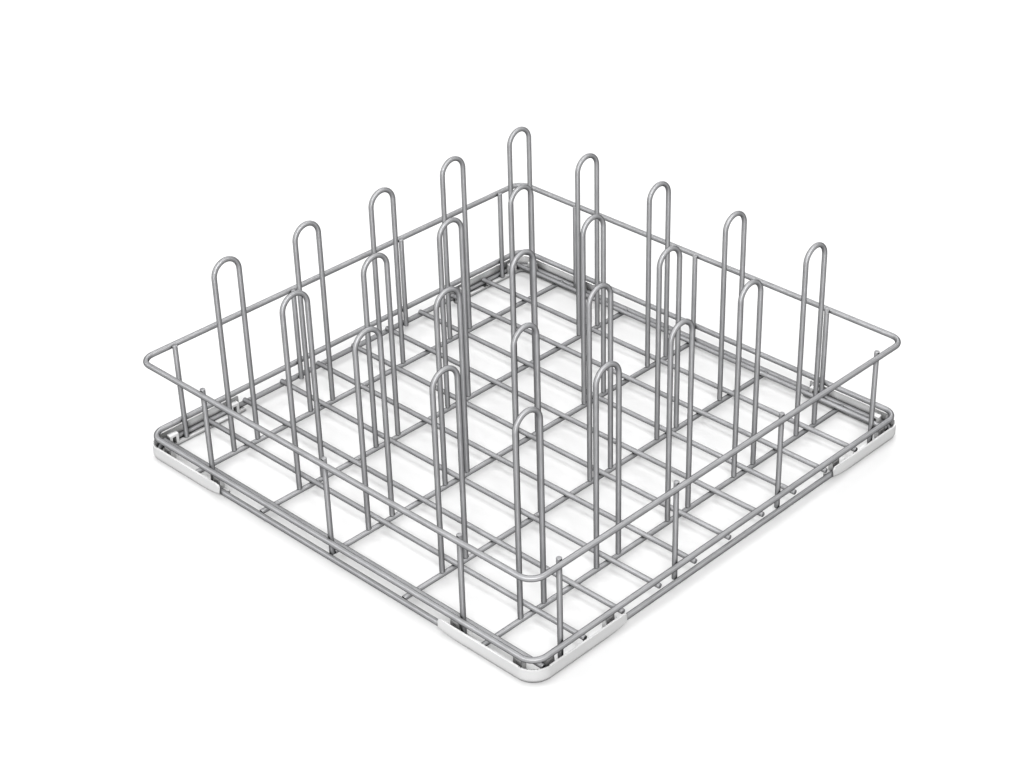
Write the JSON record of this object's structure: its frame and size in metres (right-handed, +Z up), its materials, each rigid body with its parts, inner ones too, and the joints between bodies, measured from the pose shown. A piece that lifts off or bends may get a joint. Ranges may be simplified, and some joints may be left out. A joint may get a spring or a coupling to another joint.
{
  "type": "dishwasher glass rack",
  "caption": "Square wire rack that holds glasses in a dishwasher, with tall hairpin dividers on a crossed-wire floor and moulded plastic corner skids.",
  "frame": {"origin": "on the surface that the rack stands on, under the middle of its square plan", "axes": "+Z up; the floor wires run along Y and the cross wires and divider rows along X"},
  "size_m": [0.5, 0.5, 0.2039],
  "materials": {
    "steel_wire": "satin electropolished stainless wire",
    "white_plastic": "semi-matt moulded polypropylene"
  },
  "bodies": {
    "root": {"base_ring": "steel_wire", "side_ring": "steel_wire", "top_rim": "steel_wire", "front_posts": "steel_wire", "back_posts": "steel_wire", "left_posts": "steel_wire", "right_posts": "steel_wire", "floor_wire_01": "steel_wire", "floor_wire_02": "steel_wire", "floor_wire_03": "steel_wire", "floor_wire_04": "steel_wire", "floor_wire_05": "steel_wire", "floor_wire_06": "steel_wire", "floor_wire_07": "steel_wire", "floor_wire_08": "steel_wire", "floor_wire_09": "steel_wire", "floor_wire_10": "steel_wire", "floor_wire_11": "steel_wire", "cross_wire_1": "steel_wire", "divider_row_1": "steel_wire", "cross_wire_2": "steel_wire", "divider_row_2": "steel_wire", "cross_wire_3": "steel_wire", "divider_row_3": "steel_wire", "cross_wire_4": "steel_wire", "divider_row_4": "steel_wire", "cross_wire_5": "steel_wire", "divider_row_5": "steel_wire", "corner_front_left": "white_plastic", "corner_front_right": "white_plastic", "corner_back_left": "white_plastic", "corner_back_right": "white_plastic"}
  },
  "joints": []
}
